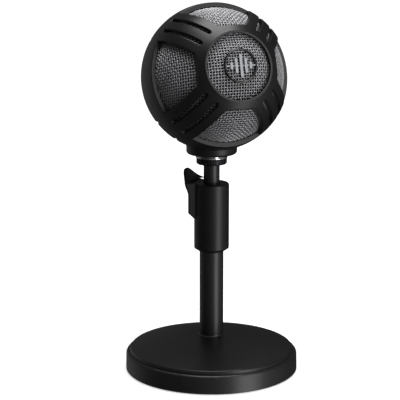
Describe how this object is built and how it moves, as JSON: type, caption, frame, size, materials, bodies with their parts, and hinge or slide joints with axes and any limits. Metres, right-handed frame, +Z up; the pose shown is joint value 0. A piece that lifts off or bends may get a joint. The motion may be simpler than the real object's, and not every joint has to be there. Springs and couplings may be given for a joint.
{
  "type": "desktop microphone",
  "caption": "Ball-shaped black desktop microphone with woven wire grille, ball joint and lever-clutch mast on a round cast base.",
  "frame": {"origin": "centre of the base's underside, on the desk", "axes": "+Z up along the mast, the microphone faces -Y, +X is to the right as seen from in front"},
  "size_m": [0.13, 0.13, 0.2772],
  "materials": {
    "powder_coat_iron": "fine satin black powder coat",
    "powder_coat_steel": "satin black powder coat",
    "pad_rubber": "matte",
    "zinc_steel": "bright zinc",
    "black_nylon": "moulded nylon",
    "satin_abs_clutch": "moulded, satin",
    "satin_abs_head": "moulded, soft satin",
    "grip_rubber": "matte",
    "chrome_plate": "polished",
    "black_nut": "black oxide, fluted",
    "grille_wire": "woven wire, grey",
    "grille_foam": "open-cell foam",
    "badge_black": "gloss",
    "badge_silver": "satin",
    "capsule_alloy": "satin",
    "board_laminate": "solder mask",
    "board_components": "mixed parts",
    "socket_steel": "nickel plated",
    "port_plate_abs": "fine spark texture",
    "black_screw": "black oxide",
    "led_lens": "frosted lens"
  },
  "bodies": {
    "stand": {"base_casting": "powder_coat_iron", "foot_pad": "pad_rubber", "base_washer": "zinc_steel", "base_nut": "zinc_steel", "base_stud": "zinc_steel", "tube_plug": "black_nylon", "lower_tube": "powder_coat_steel", "clutch_housing": "satin_abs_clutch", "guide_bush": "black_nylon", "lever_pin": "zinc_steel", "lever_spring": "zinc_steel"},
    "lever": {"clutch_lever": "satin_abs_clutch"},
    "shoe": {"grip_shoe": "grip_rubber"},
    "mast": {"upper_tube": "powder_coat_steel", "mast_stop": "black_nylon", "mast_stud": "zinc_steel", "swivel_ball": "chrome_plate"},
    "lock_nut": {"coupling_nut": "black_nut"},
    "swivel": {"ball_liner": "black_nylon"},
    "head": {"ball_seat": "black_nylon", "seat_spring": "zinc_steel", "socket_cap": "black_nylon", "neck_collar": "satin_abs_head", "collar_nut": "black_nylon", "front_shell": "satin_abs_head", "rear_shell": "satin_abs_head", "front_mesh": "grille_wire", "rear_mesh": "grille_wire", "front_foam": "grille_foam", "badge_ring": "badge_black", "badge_mark": "badge_silver", "capsule_bracket": "black_nylon", "capsule_grommet": "grip_rubber", "capsule": "capsule_alloy", "main_board": "board_laminate", "board_screws": "zinc_steel", "board_parts": "board_components", "usb_socket": "socket_steel", "port_plate": "port_plate_abs", "port_screws": "black_screw", "status_led": "led_lens", "shell_screws": "black_screw"}
  },
  "joints": [
    {"name": "mast_height", "type": "slide", "parent": "stand", "child": "mast", "axis": [0, 0, 1], "range_m": [-0.004, 0.067]},
    {"name": "lever_press", "type": "hinge", "parent": "stand", "child": "lever", "pos_m": [-0.01104, 0.0103, 0.131], "axis": [0.682, 0.7314, 0], "range_deg": [0, 5], "stiffness_Nm_per_rad": 2, "springref_deg": -5.73},
    {"name": "shoe_release", "type": "slide", "parent": "stand", "child": "shoe", "axis": [-0.7314, 0.682, 0], "range_m": [0, 0.0004]},
    {"name": "lock_nut_turn", "type": "hinge", "parent": "mast", "child": "lock_nut", "pos_m": [0, 0, 0.1604], "axis": [0, 0, 1], "continuous": true},
    {"name": "head_swivel", "type": "hinge", "parent": "mast", "child": "swivel", "pos_m": [0, 0, 0.1703], "axis": [0, 0, 1], "continuous": true},
    {"name": "head_tilt", "type": "hinge", "parent": "swivel", "child": "head", "pos_m": [0, 0, 0.1703], "axis": [1, 0, 0], "range_deg": [-18, 18]}
  ],
  "couplings": [
    {"joint": "shoe_release", "follows": "lever_press", "m_per_rad": 0.0035}
  ]
}
